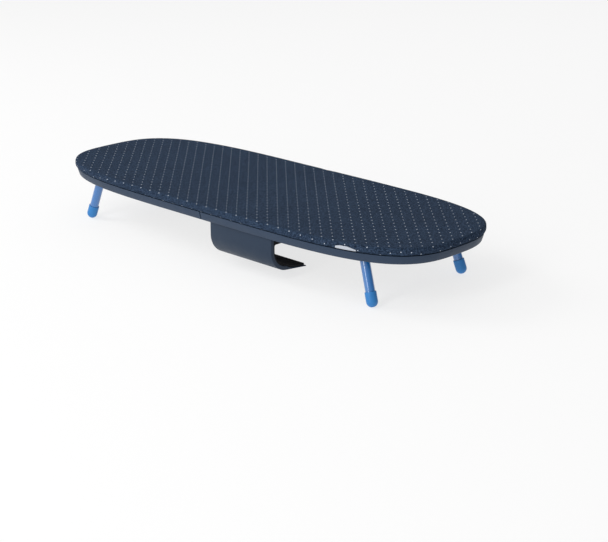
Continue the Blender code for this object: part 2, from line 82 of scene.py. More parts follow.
# ------------------------------------------------------------------ sizes, metres
HALF_L = cad_high.x
HALF_W = cad_high.y
POWER_X = 4.35            # plan: |x / HALF_L| ** POWER_X + |y / HALF_W| ** POWER_Y = 1
POWER_Y = 3.05
SEAM = 0.001
FRAME_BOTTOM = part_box("base_frame_right")[0].z
FRAME_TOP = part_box("base_frame_right")[1].z
SHELF = 0.0961
FOLD = Vector((0, 0, 0.1065))
RELIEF_END = 0.046
HINGE_Y = 0.095
AXLE = Vector((0.3354, 0, 0.0875))
LEG_Y = 0.1164            # at the foot
SPLAY = radians(19)       # outward along the board
FLARE = radians(4.9)      # outward across the board
TUBE_R = 0.0083
BEND_R = 0.018
FOOT_R = 0.0098
LEG_LENGTH = (AXLE.z - FOOT_R) / cos(SPLAY)
LEG_TOP_Y = LEG_Y - LEG_LENGTH * tan(FLARE)
BRACKET_Y = 0.070
BRACKET_HOLE = 0.0150
PLATE_Z = AXLE.z + 0.0070
CLIP_X = 0.2875
STOP_X = AXLE.x + 0.0117
HOOK_LOW, HOOK_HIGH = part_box("door_hook")
HOOK_SCREW_Y = -0.114
HOOK_SCREWS_X = (0.044, 0.094, 0.144)
LATCH_X = 0.030
STUD_X = -0.012
LEAF_SCREW_X = 0.020
LEAF_SCREW_GAP = 0.011    # from the leaf's middle to each of its screws
PEG_Y = 0.060
PEG_Z = 0.0925
FIT = 0.0003              # play between two parts that touch

SIDES = (("right", 1), ("left", -1))
EDGES = (("back", 1), ("front", -1))
ALONG, ACROSS, UP = (1, 0, 0), (0, 1, 0), (0, 0, 1)


# ------------------------------------------------------------------ node helpers
class Shading:
    """One material and short calls that add nodes to it."""

    def __init__(self, name):
        self.material = bpy.data.materials.new(name)
        self.material.use_nodes = True
        self.tree = self.material.node_tree
        self.shader = self.tree.nodes["Principled BSDF"]
        self.point = self.add("ShaderNodeTexCoord").outputs["Object"]

    def add(self, kind, inputs=None, **settings):
        node = self.tree.nodes.new(kind)
        for key, value in settings.items():
            setattr(node, key, value)
        for key, value in (inputs or {}).items():
            self.feed(node.inputs[key], value)
        return node

    def feed(self, socket, value):
        if isinstance(value, bpy.types.NodeSocket):
            self.tree.links.new(value, socket)
        else:
            socket.default_value = value

    def set(self, **sockets):
        for key, value in sockets.items():
            self.feed(self.shader.inputs[key.replace("_", " ")], value)

    def math(self, operation, one, two=0.0, three=0.0):
        return self.add("ShaderNodeMath", {0: one, 1: two, 2: three}, operation=operation).outputs[0]

    def noise(self, scale, detail=2.0, rough=0.5, vector=None):
        inputs = {"Scale": scale, "Detail": detail, "Roughness": rough, "Vector": vector or self.point}
        return self.add("ShaderNodeTexNoise", inputs).outputs["Fac"]

    def spread(self, value, low, high, out_low=0.0, out_high=1.0):
        inputs = {"Value": value, "From Min": low, "From Max": high, "To Min": out_low, "To Max": out_high}
        return self.add("ShaderNodeMapRange", inputs).outputs["Result"]

    def mix(self, share, one, two, blend="MIX"):
        node = self.add("ShaderNodeMix", data_type="RGBA", blend_type=blend)
        self.feed(node.inputs[0], share)
        self.feed(node.inputs[6], one)
        self.feed(node.inputs[7], two)
        return node.outputs[2]

    def bump(self, height, strength, distance, normal=None):
        inputs = {"Height": height, "Strength": strength, "Distance": distance}
        if normal:
            inputs["Normal"] = normal
        return self.add("ShaderNodeBump", inputs).outputs["Normal"]

    def edge_wear(self, amount):
        """Rises on convex edges, from the mesh's own curvature."""
        pointiness = self.add("ShaderNodeNewGeometry").outputs["Pointiness"]
        worn = self.spread(pointiness, 0.52, 0.60)
        return self.math("MULTIPLY", worn, amount)


def rgb(red, green, blue):
    """Screen colour 0 to 255 as a linear shader colour."""
    linear = []
    for part in (red, green, blue):
        part = part / 255
        linear.append(part / 12.92 if part <= 0.04045 else ((part + 0.055) / 1.055) ** 2.4)
    return (*linear, 1.0)


# ------------------------------------------------------------------ materials
DOT_X = 0.0250            # the print repeats every 25 mm along and 24.75 mm across, with a dot in the middle
DOT_Y = 0.02475
DOT_SHIFT = (0.00565, -0.00152)
DOT_R = 0.00085
DOT_RAISE = 0.00018       # dots on the flat top spread a little more than on the stretched side
DOT_BLUR = 0.00040
DOT_CORE = 0.00005
YARN = 0.00042


def lattice_distance(shade, across, along, shift_x, shift_y):
    """Distance from the nearest dot of one rectangular lattice."""
    parts = []
    for value, pitch, shift in ((across, DOT_X, shift_x), (along, DOT_Y, shift_y)):
        moved = shade.math("SUBTRACT", value, shift)
        parts.append(shade.math("PINGPONG", moved, pitch / 2))
    square = shade.math("MULTIPLY", parts[0], parts[0])
    return shade.math("SQRT", shade.math("MULTIPLY_ADD", parts[1], parts[1], square))


def cover_cloth():
    """Navy plain weave with slubs and a print of small pale dots."""
    shade = Shading("cover_cloth")
    flat = shade.add("ShaderNodeUVMap", uv_map="cloth").outputs["UV"]
    split = shade.add("ShaderNodeSeparateXYZ", {"Vector": flat})
    across, along = split.outputs["X"], split.outputs["Y"]
    warp = shade.math("SINE", shade.math("MULTIPLY", across, 2 * pi / YARN))
    weft = shade.math("SINE", shade.math("MULTIPLY", along, 2 * pi / YARN))
    weave = shade.math("MULTIPLY", warp, weft)
    slub = shade.noise(400, 2, 0.6)
    cloud = shade.noise(14, 3, 0.5)

    near = lattice_distance(shade, across, along, *DOT_SHIFT)
    middle = lattice_distance(shade, across, along, DOT_SHIFT[0] + DOT_X / 2, DOT_SHIFT[1] + DOT_Y / 2)
    nearest = shade.math("MINIMUM", near, middle)
    ragged = shade.math("MULTIPLY_ADD", shade.noise(1600, 1, 0.5), 0.0005, nearest)
    facing = shade.add("ShaderNodeNewGeometry").outputs["Normal"]
    upward = shade.add("ShaderNodeSeparateXYZ", {"Vector": facing}).outputs["Z"]
    raised = shade.spread(upward, 0.4, 0.9, 0.0, DOT_RAISE)
    dot = shade.spread(shade.math("SUBTRACT", ragged, raised), DOT_R + DOT_BLUR, DOT_R + DOT_CORE)

    yarn = shade.spread(weave, -1, 1, 0.0, 1.0)
    base = shade.mix(yarn, rgb(34, 48, 66), rgb(48, 64, 86))
    base = shade.mix(shade.spread(slub, 0.48, 0.66, 0, 0.5), base, rgb(74, 92, 118))
    base = shade.mix(shade.spread(slub, 0.50, 0.34, 0, 0.8), base, rgb(16, 24, 38))
    base = shade.mix(shade.spread(cloud, 0.3, 0.7, 0, 0.25), base, rgb(34, 43, 58))
    shade.set(Base_Color=shade.mix(dot, base, rgb(206, 216, 230)))
    height = shade.math("MULTIPLY_ADD", dot, 0.6, weave)
    fine = shade.bump(height, 0.35, 0.0002)
    shade.set(Normal=shade.bump(cloud, 0.10, 0.002, fine), Roughness=0.95, Sheen_Weight=0.04,
              Sheen_Roughness=0.45, Sheen_Tint=rgb(150, 165, 190), Specular_IOR_Level=0.06)
    return shade.material


def plastic(name, low, high, rough, grain=900, bump=0.10, gloss=0.25):
    """Moulded plastic: fine spark texture, slight colour drift, paler edges."""
    shade = Shading(name)
    drift = shade.noise(9, 3, 0.5)
    spark = shade.noise(grain, 2, 0.6)
    base = shade.mix(drift, low, high)
    base = shade.mix(shade.edge_wear(0.12), base, tuple(min(1, part * 2.2) for part in high[:3]) + (1,))
    shade.set(Base_Color=base, Normal=shade.bump(spark, bump, 0.0004), Specular_IOR_Level=gloss)
    shade.set(Roughness=shade.spread(shade.noise(60, 3, 0.6), 0.3, 0.7, rough - 0.05, rough + 0.06))
    return shade.material


def leg_paint():
    """Glossy blue powder coat with orange peel."""
    shade = Shading("leg_paint")
    drift = shade.noise(30, 2, 0.5)
    base = shade.mix(drift, rgb(6, 98, 168), rgb(12, 108, 182))
    shade.set(Base_Color=shade.mix(shade.edge_wear(0.3), base, rgb(80, 150, 220)))
    shade.set(Normal=shade.bump(shade.noise(420, 1, 0.4), 0.04, 0.0004), Roughness=0.30,
              Coat_Weight=1.0, Coat_Roughness=0.08, Coat_IOR=1.75)
    return shade.material


def steel(name, colour, rough, stretch=(1, 40, 1)):
    """Zinc-plated steel: drawn grain and faint spangle."""
    shade = Shading(name)
    grain_at = shade.add("ShaderNodeMapping", {"Vector": shade.point, "Scale": stretch}).outputs[0]
    grain = shade.noise(220, 3, 0.6, grain_at)
    spangle = shade.add("ShaderNodeTexVoronoi", {"Vector": shade.point, "Scale": 260}).outputs["Color"]
    tone = shade.mix(0.12, colour, spangle, "OVERLAY")
    shade.set(Base_Color=shade.mix(shade.spread(grain, 0.35, 0.7, 0, 0.25), tone, rgb(120, 122, 126)),
              Metallic=1.0, Roughness=shade.spread(grain, 0.3, 0.7, rough - 0.06, rough + 0.10),
              Normal=shade.bump(grain, 0.05, 0.0004))
    return shade.material


def panel_paint():
    """Grey painted steel."""
    shade = Shading("panel_steel")
    drift = shade.noise(40, 3, 0.5)
    shade.set(Base_Color=shade.mix(drift, rgb(150, 153, 157), rgb(172, 174, 178)), Metallic=0.35,
              Roughness=shade.spread(drift, 0.3, 0.7, 0.38, 0.52),
              Normal=shade.bump(shade.noise(700, 1, 0.5), 0.08, 0.0004))
    return shade.material


def felt():
    """Pressed grey felt with dark flecks."""
    shade = Shading("felt")
    fibre_at = shade.add("ShaderNodeMapping", {"Vector": shade.point, "Scale": (1, 3, 6)}).outputs[0]
    fibre = shade.noise(520, 4, 0.7, fibre_at)
    fleck = shade.noise(1500, 1, 0.5)
    base = shade.mix(shade.spread(fibre, 0.3, 0.7), rgb(176, 174, 168), rgb(206, 204, 198))
    shade.set(Base_Color=shade.mix(shade.spread(fleck, 0.62, 0.72, 0, 0.5), base, rgb(110, 116, 130)),
              Roughness=0.96, Normal=shade.bump(fibre, 0.6, 0.0008), Sheen_Weight=0.3, Sheen_Roughness=0.6)
    return shade.material


def label_cloth():
    """Blank satin-woven label."""
    shade = Shading("label_cloth")
    ribs = shade.add("ShaderNodeTexWave", {"Vector": shade.point, "Scale": 900, "Distortion": 0.4},
                     bands_direction="Z")
    threads = shade.noise(1400, 2, 0.5)
    base = shade.mix(threads, rgb(160, 166, 176), rgb(198, 204, 214))
    shade.set(Base_Color=base, Roughness=0.62, Sheen_Weight=0.2,
              Normal=shade.bump(ribs.outputs["Fac"], 0.25, 0.0002))
    return shade.material


MATERIAL = {
    "cover_cloth": cover_cloth(),
    "felt": felt(),
    "panel_steel": panel_paint(),
    "frame_plastic": plastic("frame_plastic", rgb(40, 56, 76), rgb(45, 61, 83), 0.50),
    # the frame plastic darkened for the hook: painted shade, the hook being the same plastic as the rim
    "shaded_frame_plastic": plastic("shaded_frame_plastic", rgb(31, 46, 64), rgb(36, 51, 70), 0.50),
    # near-black layer for the hook's inside: painted shade of the board above it
    "lining_rubber": plastic("lining_rubber", rgb(9, 10, 13), rgb(15, 16, 20), 0.85, 1200, 0.3),
    "leg_paint": leg_paint(),
    "foot_plastic": plastic("foot_plastic", rgb(42, 116, 182), rgb(52, 126, 192), 0.42, 700, 0.08, 0.35),
    "bracket_plastic": plastic("bracket_plastic", rgb(32, 40, 54), rgb(40, 49, 66), 0.55),
    "hinge_steel": steel("hinge_steel", rgb(186, 188, 192), 0.34),
    "screw_steel": steel("screw_steel", rgb(198, 199, 202), 0.28, (1, 1, 1)),
    "latch_plastic": plastic("latch_plastic", rgb(30, 92, 168), rgb(38, 102, 180), 0.45),
    "label_cloth": label_cloth(),
}


# ------------------------------------------------------------------ mesh helpers
SHARP = 32                # degrees between faces that stay a crisp edge


def smooth(mesh, sharp=SHARP):
    mesh.shade_smooth()
    mesh.set_sharp_from_angle(angle=radians(sharp))


def finish_mesh(name, bm, slot, body=None, replaced=(), sharp=SHARP, material=None):
    """Turn a bmesh into a piece: smooth shading, the material named by its slot unless one is given, body,
    and the CAD nodes it stands for hidden.
    """
    bmesh.ops.recalc_face_normals(bm, faces=bm.faces)
    mesh = bpy.data.meshes.new(name)
    bm.to_mesh(mesh)
    bm.free()
    piece = bpy.data.objects.new(name, mesh)
    bpy.context.scene.collection.objects.link(piece)
    mesh.materials.append(MATERIAL[material or slot])
    smooth(mesh, sharp)
    if body:
        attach(piece, body)
    if replaced:
        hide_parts(*replaced)
    return piece


def bake(piece):
    """Apply the piece's modifiers to its mesh."""
    graph = bpy.context.evaluated_depsgraph_get()
    mesh = bpy.data.meshes.new_from_object(piece.evaluated_get(graph))
    piece.modifiers.clear()
    old = piece.data
    piece.data = mesh
    bpy.data.meshes.remove(old)
    return piece


def mirror_bm(bm, side):
    bmesh.ops.scale(bm, vec=(side, 1, 1), verts=bm.verts)


def join_rows(bm, rows, around=True):
    """Quads between each two rows of vertices that follow each other."""
    for low, high in zip(rows, rows[1:]):
        for i in range(len(low) if around else len(low) - 1):
            j = (i + 1) % len(low)
            bm.faces.new((low[i], low[j], high[j], high[i]))


def loft(bm, rings, closed=False):
    """Skin rings of points, with a cap on each end, or closed from the last ring back to the first."""
    rows = [[bm.verts.new(point) for point in ring] for ring in rings]
    join_rows(bm, rows + rows[:1] if closed else rows)
    if not closed:
        bm.faces.new(rows[0][::-1])
        bm.faces.new(rows[-1])


def add_box(bm, x, y, z):
    size = Vector((x[1] - x[0], y[1] - y[0], z[1] - z[0]))
    centre = Vector((x[0] + x[1], y[0] + y[1], z[0] + z[1])) / 2
    bmesh.ops.create_cube(bm, size=1, matrix=Matrix.Translation(centre) @ Matrix.Diagonal((*size, 1)))


def soft_box(bm, x, y, z, radius=0.0006):
    """Box with rounded edges."""
    part = bmesh.new()
    add_box(part, x, y, z)
    bmesh.ops.bevel(part, geom=part.edges[:], offset=radius, segments=2, affect="EDGES", profile=0.5)
    merge(bm, part)


def merge(bm, part):
    """Add one bmesh to another and free it."""
    mesh = bpy.data.meshes.new("part")
    part.to_mesh(mesh)
    part.free()
    bm.from_mesh(mesh)
    bpy.data.meshes.remove(mesh)


def arc(centre, radius, start, end, steps):
    """Points on a circle from one angle to another, in degrees."""
    angles = [radians(start + (end - start) * k / steps) for k in range(steps + 1)]
    return [(centre[0] + radius * cos(angle), centre[1] + radius * sin(angle)) for angle in angles]


def spokes(across, beside, count):
    """Unit directions all round, from two that are square to each other."""
    return [across * cos(2 * pi * k / count) + beside * sin(2 * pi * k / count) for k in range(count)]


def turned(bm, profile, at, direction, segments):
    """Skin rings of (height, radius) about an axis."""
    ahead = Vector(direction).normalized()
    across = ahead.orthogonal().normalized()
    round_about = spokes(across, ahead.cross(across), segments)
    loft(bm, [[Vector(at) + ahead * height + spoke * radius for spoke in round_about]
              for height, radius in profile])


def drill(bm, x, y, low, high, radius, segments=28):
    """Upright rod that cuts a hole from one height to another."""
    turned(bm, ((low, radius), (high, radius)), (x, y, 0), UP, segments)


def boolean(piece, other_bm, operation="DIFFERENCE"):
    """Cut or join with another bmesh and keep the result as plain mesh."""
    mesh = bpy.data.meshes.new("cutter")
    bmesh.ops.recalc_face_normals(other_bm, faces=other_bm.faces)
    other_bm.to_mesh(mesh)
    other_bm.free()
    cutter = bpy.data.objects.new("cutter", mesh)
    bpy.context.scene.collection.objects.link(cutter)
    cutter.parent = piece.parent
    cutter.matrix_world = piece.matrix_world.copy()
    step = piece.modifiers.new("cut", "BOOLEAN")
    step.operation = operation
    step.object = cutter
    step.use_self = True
    bpy.context.view_layer.update()
    bake(piece)
    bpy.data.objects.remove(cutter)
    bpy.data.meshes.remove(mesh)
    smooth(piece.data)


def slice_across(bm, places):
    """Cut edges into a mesh at each x, so that it can bend there."""
    for x in places:
        bmesh.ops.bisect_plane(bm, geom=bm.verts[:] + bm.edges[:] + bm.faces[:], dist=1e-6,
                               plane_co=(x, 0, 0), plane_no=ALONG)


# ------------------------------------------------------------------ plan outline
TURN_RUN = 0.10           # metres of run that one radian of turn counts for


def plan_stations(count, half_l=HALF_L, half_w=HALF_W, start=None):
    """Points and outward normals on the plan curve, closer together where it turns.

    With start, only the right half from x = start, front to back.
    """
    angle = np.linspace(-pi / 2, 3 * pi / 2, 16001) if start is None else np.linspace(-pi / 2, pi / 2, 12001)
    c, s = np.cos(angle), np.sin(angle)
    x = half_l * np.sign(c) * np.abs(c) ** (2 / POWER_X)
    y = half_w * np.sign(s) * np.abs(s) ** (2 / POWER_Y)
    points = np.stack([x, y], 1)
    if start is not None:
        edge = half_w * (1 - (start / half_l) ** POWER_X) ** (1 / POWER_Y)
        points = points[points[:, 0] > start]
        points = np.vstack([[start, -edge], points, [start, edge]])
    step = np.diff(points, axis=0)
    length = np.hypot(*step.T)
    points = np.vstack([points[:1], points[1:][length > 1e-9]])
    step = np.diff(points, axis=0)
    heading = np.unwrap(np.arctan2(step[:, 1], step[:, 0]))
    turn = np.abs(np.diff(heading, prepend=heading[0]))
    run = np.concatenate([[0], np.cumsum(np.hypot(*step.T) + turn * TURN_RUN)])
    total = count if start is None else count - 1
    target = run[-1] * np.arange(count) / total
    out = np.stack([np.interp(target, run, points[:, k]) for k in (0, 1)], 1)
    grade = np.stack([POWER_X * np.sign(out[:, 0]) * np.abs(out[:, 0] / half_l) ** (POWER_X - 1) / half_l,
                      POWER_Y * np.sign(out[:, 1]) * np.abs(out[:, 1] / half_w) ** (POWER_Y - 1) / half_w], 1)
    normal = grade / np.maximum(np.hypot(*grade.T)[:, None], 1e-9)
    return out, normal


def outline_y(x, inset=0.0):
    """Half width of the plan at x."""
    return (HALF_W - inset) * (1 - (abs(x) / (HALF_L - inset)) ** POWER_X) ** (1 / POWER_Y)


def half_ring(inset, z, start, count):
    """Right-half ring of the frame at one level."""
    points, _ = plan_stations(count, HALF_L - inset, HALF_W - inset, start)
    return [(x, y, z) for x, y in points]


# ------------------------------------------------------------------ cloth cover
COVER_STATIONS = 260
COVER_LEVELS = (  # inset from the plan curve, height
    (0.0090, 0.0987), (0.0070, 0.0982), (0.0045, 0.0979), (0.0026, 0.0979), (0.0013, 0.0983),
    (0.0007, 0.0992), (0.0004, 0.1006), (0.0003, 0.1022), (0.0003, 0.1038), (0.0004, 0.1054),
    (0.0006, 0.1069), (0.0010, 0.1081), (0.0017, 0.1091), (0.0027, 0.1098), (0.0042, 0.1102),
    (0.0064, 0.1104), (0.0110, 0.1105), (0.0180, 0.1105))
COVER_SHARES = (0.955, 0.90, 0.82, 0.72, 0.60, 0.47, 0.33, 0.18, 0.06)
CLOTH_TOP = COVER_LEVELS[-1][1]
CLOTH_T = 0.0007
HEM_TOP = 0.1016          # the gathers fade in below this height
HEM_FADE = 0.0035
SIDE_TOP = 0.1100         # the side's bulges fade in below this height
SIDE_FADE = 0.0020
PUCKER = 0.00035
SWELL = 0.00045
HEM_WAVE = 0.00030
QUILT = 0.00022
FOLD_DIP = 0.0007
FOLD_DIP_REACH = 0.020
FOLD_CUTS = (-0.012, -0.009, -0.006, -0.004, -0.002, 0, 0.002, 0.004, 0.006, 0.009, 0.012)


def fade(value, end, length):
    """1 well below the end, falling to 0 at it."""
    return min(max((end - value) / length, 0), 1)


def build_cover(label):
    """One stretched cloth: hem, side and top, with its flat layout kept as UVs for the print."""
    plan, normal = plan_stations(COVER_STATIONS)
    bm = bmesh.new()
    flat = bm.loops.layers.uv.new("cloth")
    place = {}
    rows = []
    lengths = [0.0]
    for one, two in zip(COVER_LEVELS, COVER_LEVELS[1:]):
        lengths.append(lengths[-1] + Vector((two[0] - one[0], two[1] - one[1])).length)
    reach = [lengths[-1] - value - COVER_LEVELS[-1][0] for value in lengths]
    around = np.concatenate([[0], np.cumsum(np.hypot(*np.diff(plan, axis=0).T))])
    for (inset, z), out in zip(COVER_LEVELS, reach):
        row = []
        for k, (spot, away) in enumerate(zip(plan, normal)):
            hem = fade(z, HEM_TOP, HEM_FADE)
            side = fade(z, SIDE_TOP, SIDE_FADE)
            pucker = noise.noise(Vector((around[k] / 0.011, z / 0.012, 3.1))) * PUCKER * (0.25 + hem)
            swell = noise.noise(Vector((around[k] / 0.050, z / 0.020, 9.7))) * SWELL
            where = spot - away * (inset - (pucker + swell) * side)
            lift = noise.noise(Vector((around[k] / 0.016, 5.0, inset * 90))) * HEM_WAVE * hem
            vert = bm.verts.new((where[0], where[1], z + lift))
            place[vert] = spot + away * out
            row.append(vert)
        rows.append(row)
    inner = plan - normal * COVER_LEVELS[-1][0]
    for share in COVER_SHARES:
        row = []
        for spot in inner * share:
            vert = bm.verts.new((spot[0], spot[1], CLOTH_TOP))
            place[vert] = spot
            row.append(vert)
        rows.append(row)
    join_rows(bm, rows)
    bm.faces.new(rows[-1])
    for face in bm.faces:
        for loop in face.loops:
            loop[flat].uv = place[loop.vert]
    slice_across(bm, FOLD_CUTS)
    for vert in bm.verts:
        if vert.co.z > CLOTH_TOP - 0.002:
            quilt = noise.noise(Vector((vert.co.x / 0.09, vert.co.y / 0.07, 1.7))) * QUILT
            valley = FOLD_DIP * max(0, 1 - abs(vert.co.x) / FOLD_DIP_REACH) ** 2
            vert.co.z += quilt - valley
    bmesh.ops.triangulate(bm, faces=[face for face in bm.faces if len(face.verts) > 4])
    cover = finish_mesh("cloth_cover", bm, "cover_cloth", replaced=("cover_right", "cover_left"), sharp=80)
    cloth = cover.modifiers.new("thickness", "SOLIDIFY")
    cloth.thickness = CLOTH_T
    cloth.offset = -1
    bake(cover)
    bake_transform(cover)


PAD_LEVELS = ((0.0040, 0.1053), (0.0034, 0.1058), (0.0033, 0.1070), (0.0038, 0.1081), (0.0050, 0.1089),
              (0.0070, 0.1092))
PAD_START = 0.013
PAD_BOTTOM = PAD_LEVELS[0][1]
RELIEF = radians(5)       # the pads slope down towards the fold by this much


def build_felt(name, side):
    bm = bmesh.new()
    rows = [[bm.verts.new(point) for point in half_ring(inset, z, PAD_START, 90)] for inset, z in PAD_LEVELS]
    join_rows(bm, rows, around=False)
    bm.faces.new(rows[0][::-1])
    bm.faces.new(rows[-1])
    bm.faces.new([row[0] for row in rows] + [row[-1] for row in reversed(rows)])
    slice_across(bm, np.linspace(PAD_START, RELIEF_END, 7)[1:])
    for vert in bm.verts:
        share = min(max((vert.co.z - PAD_BOTTOM) / 0.0033, 0), 1)
        if vert.co.x < RELIEF_END:
            vert.co.z -= share * (RELIEF_END - vert.co.x) * tan(RELIEF)
    mirror_bm(bm, side)
    pad = finish_mesh("felt_slab_" + name, bm, "felt", name + "_half", ["felt_pad_" + name], sharp=60)


# ------------------------------------------------------------------ outline solids
def lift_point(point, height, axis):
    if axis == "Z":
        return (point[0], point[1], height)
    if axis == "Y":
        return (point[0], height, point[1])
    return (height, point[0], point[1])


def prism(bm, points, low, high, axis="Z", edge=0.0, segments=3, sharp=40):
    """Extrude an outline and round its edges that turn by more than the sharp angle."""
    part = bmesh.new()
    loft(part, [[lift_point(point, height, axis) for point in points] for height in (low, high)])
    bmesh.ops.recalc_face_normals(part, faces=part.faces)
    if edge:
        corners = [e for e in part.edges if e.calc_face_angle(0) > radians(sharp)]
        bmesh.ops.bevel(part, geom=corners, offset=edge, segments=segments, affect="EDGES", profile=0.5)
    merge(bm, part)


def place_mesh(name, mesh, matrix, slot, body, replaced):
    """One more copy of a ready mesh as a piece of its own."""
    own = mesh.copy()
    own.transform(matrix)
    own.materials.clear()
    own.materials.append(MATERIAL[slot])
    piece = bpy.data.objects.new(name, own)
    bpy.context.scene.collection.objects.link(piece)
    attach(piece, body)
    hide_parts(replaced)
    return piece


# ------------------------------------------------------------------ base frames
FRAME_STATIONS = 150


def frame_ring():
    """Section of the rim and seam wall: inset from the plan curve, height, x where the half starts."""
    edge = SEAM + 0.0002
    wall = 0.0100
    outside = [(0.0090, FRAME_BOTTOM), (0.0076, FRAME_BOTTOM + 0.0002), (0.0067, FRAME_BOTTOM + 0.0009),
               (0.0061, 0.0827), (0.0037, 0.0915), (0.0029, 0.0950), (0.0028, 0.0956), (0.0031, 0.0960),
               (0.0037, SHELF)]
    return [(inset, z, edge) for inset, z in outside] + [
        (0.0116, SHELF, SEAM), (0.0120, 0.0949, SEAM), (0.0120, 0.1033, edge),
        (0.0124, FRAME_TOP, SEAM + 0.0006), (0.0156, FRAME_TOP, wall - 0.0004), (0.0160, 0.1033, wall),
        (0.0160, 0.0816, wall), (0.0155, FRAME_BOTTOM, wall - 0.0005)]


def build_frame(name, side):
    """Moulded half frame: rim, shelf under the cover, seam wall, ribs, bosses and screw holes."""
    bm = bmesh.new()
    loft(bm, [half_ring(inset, z, start, FRAME_STATIONS) for inset, z, start in frame_ring()], closed=True)
    mirror_bm(bm, side)
    piece = finish_mesh("moulded_frame_" + name, bm, "frame_plastic", name + "_half", ["base_frame_" + name])

    ribs = bmesh.new()
    soft_box(ribs, (0.176, 0.180), (-0.150, 0.150), (0.0860, FRAME_TOP - 0.0002))
    soft_box(ribs, (0.280, 0.295), (-0.1425, 0.1425), (0.0975, FRAME_TOP - 0.0004))
    soft_box(ribs, (AXLE.x - 0.021, AXLE.x + 0.021), (-0.1245, 0.1245), (0.0965, FRAME_TOP - 0.0004))
    for _, sign in EDGES:
        rail = sorted((sign * 0.0435, sign * 0.0465))
        pad = sorted((sign * 0.073, sign * 0.117))
        stop = sorted((sign * 0.1035, sign * 0.1155))
        soft_box(ribs, (0.006, 0.1775), rail, (0.0870, FRAME_TOP - 0.0006))
        soft_box(ribs, (0.1785, 0.4325), rail, (0.0967, FRAME_TOP - 0.0006))
        soft_box(ribs, (0.007, 0.0345), pad, (0.0880, FRAME_TOP - 0.0008), 0.0010)
        soft_box(ribs, (STOP_X, STOP_X + 0.0135), stop, (0.0820, 0.0975), 0.0010)
    boss_top = FRAME_TOP - 0.0010
    if side > 0:
        for x in HOOK_SCREWS_X:
            soft_box(ribs, (x - 0.0065, x + 0.0065), (-0.1510, -0.1065), (FRAME_BOTTOM + 0.0001, boss_top),
                     0.0010)
        soft_box(ribs, (0.007, LATCH_X + 0.010), (-0.010, 0.010), (0.0815, boss_top), 0.0015)
    else:
        soft_box(ribs, (0.007, 0.020), (-0.009, 0.009), (0.0815, boss_top), 0.0015)
    mirror_bm(ribs, side)
    boolean(piece, ribs, "UNION")

    cuts = bmesh.new()
    hole = 0.0034 if side > 0 else 0.0027
    peg_hole = ((-0.002, hole + 0.0006), (0.0012, hole + 0.0006), (0.0018, hole), (0.012, hole))
    for _, sign in EDGES:
        y = sign * HINGE_Y
        add_box(cuts, (-0.002, 0.0325), (y - 0.0203, y + 0.0203), (0.1020, 0.1050))
        for shift in (-LEAF_SCREW_GAP, LEAF_SCREW_GAP):
            drill(cuts, LEAF_SCREW_X, y + shift, 0.0915, 0.1030, 0.0017, 24)
        turned(cuts, peg_hole, (0, sign * PEG_Y, PEG_Z), ALONG, 28)
        for shift in (-BRACKET_HOLE, BRACKET_HOLE):
            drill(cuts, AXLE.x + shift, sign * BRACKET_Y, 0.0955, 0.1026, 0.0018, 24)
    if side > 0:
        for x in HOOK_SCREWS_X:
            drill(cuts, x, HOOK_SCREW_Y, 0.0800, 0.0950, 0.0020, 24)
    drill(cuts, LATCH_X if side > 0 else -STUD_X, 0, 0.0800, 0.0970, 0.0022)
    mirror_bm(cuts, side)
    boolean(piece, cuts)


# ------------------------------------------------------------------ expanded steel panel
DIAMOND_X = 0.0200
DIAMOND_Y = 0.0080
STRAND = 0.0014
GRID_START = 0.006
GRID_Z = 0.1045
GRID_EDGE = 0.007


def build_panel(name, side):
    """Border plate with a turned-down flange, and an expanded steel mesh inside it."""
    outer, inner = SEAM + 0.002, SEAM + 0.012
    border = [(outer, 0.0036, 0.1040), (outer, 0.0036, 0.0991), (outer, 0.0034, 0.0990),
              (outer, 0.0028, 0.0990), (outer, 0.0026, 0.0993), (outer, 0.0026, 0.1043),
              (outer, 0.0028, 0.1048), (outer, 0.0033, 0.1050),
              (inner, 0.0140, 0.1050), (inner, 0.0142, 0.1045), (inner, 0.0140, 0.1040)]
    bm = bmesh.new()
    loft(bm, [half_ring(inset, z, start, 110) for start, inset, z in border], closed=True)
    mirror_bm(bm, side)
    piece = finish_mesh("steel_mesh_" + name, bm, "panel_steel", name + "_half", ["mesh_panel_" + name])

    grid = bmesh.new()
    spots = {}

    def corner(column, row):
        if (column, row) not in spots:
            spot = (GRID_START + column * DIAMOND_X / 2, row * DIAMOND_Y / 2, GRID_Z)
            spots[column, row] = grid.verts.new(spot)
        return spots[column, row]

    for column in range(1, 46):
        for row in range(-42, 43):
            x = GRID_START + column * DIAMOND_X / 2
            if (column + row) % 2 or x + DIAMOND_X / 2 > HALF_L - GRID_EDGE:
                continue
            if (abs(row) + 1) * DIAMOND_Y / 2 < outline_y(x + DIAMOND_X / 2, GRID_EDGE):
                grid.faces.new((corner(column - 1, row), corner(column, row - 1), corner(column + 1, row),
                                corner(column, row + 1)))
    mesh = bpy.data.meshes.new("grid")
    grid.to_mesh(mesh)
    grid.free()
    wires = bpy.data.objects.new("grid", mesh)
    bpy.context.scene.collection.objects.link(wires)
    strands = wires.modifiers.new("strands", "WIREFRAME")
    strands.thickness = STRAND
    strands.use_even_offset = False
    strands.use_boundary = True
    bake(wires)
    for vert in wires.data.vertices:
        vert.co.z = GRID_Z + (vert.co.z - GRID_Z) * 0.6
        vert.co.x *= side
    joined = bmesh.new()
    joined.from_mesh(piece.data)
    joined.from_mesh(wires.data)
    bmesh.ops.recalc_face_normals(joined, faces=joined.faces)
    joined.to_mesh(piece.data)
    joined.free()
    bpy.data.objects.remove(wires)
    smooth(piece.data, 40)


